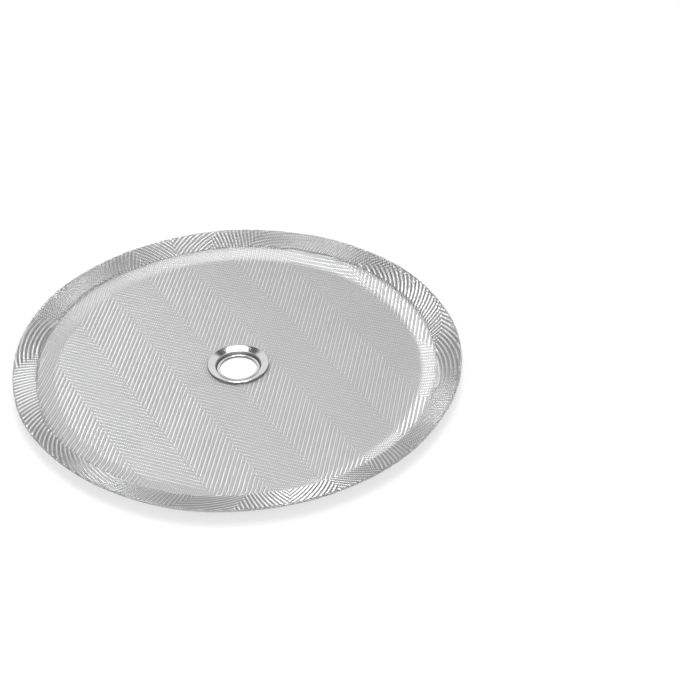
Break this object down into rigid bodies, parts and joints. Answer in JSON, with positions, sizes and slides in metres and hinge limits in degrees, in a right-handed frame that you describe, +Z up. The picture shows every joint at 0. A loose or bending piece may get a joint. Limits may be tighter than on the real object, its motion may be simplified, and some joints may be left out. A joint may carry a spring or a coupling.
{
  "type": "filter screen",
  "caption": "Round filter screen of herringbone woven steel cloth, pressed into a shallow dish with a hemmed rim and a steel eyelet in the middle.",
  "frame": {"origin": "centre of the eyelet's foot, on the surface the disc lies on", "axes": "+Z up along the axis of the disc, out of the open side of the dish; the herringbone bands run 115.5 degrees from +X"},
  "size_m": [0.102, 0.102, 0.0046],
  "materials": {
    "woven_steel": "bright drawn stainless wire, woven as herringbone twill, slightly see-through",
    "polished_steel": "polished stamped stainless sheet with faint handling marks"
  },
  "bodies": {
    "root": {"mesh_screen": "woven_steel", "eyelet": "polished_steel", "top_washer": "polished_steel"}
  },
  "joints": []
}
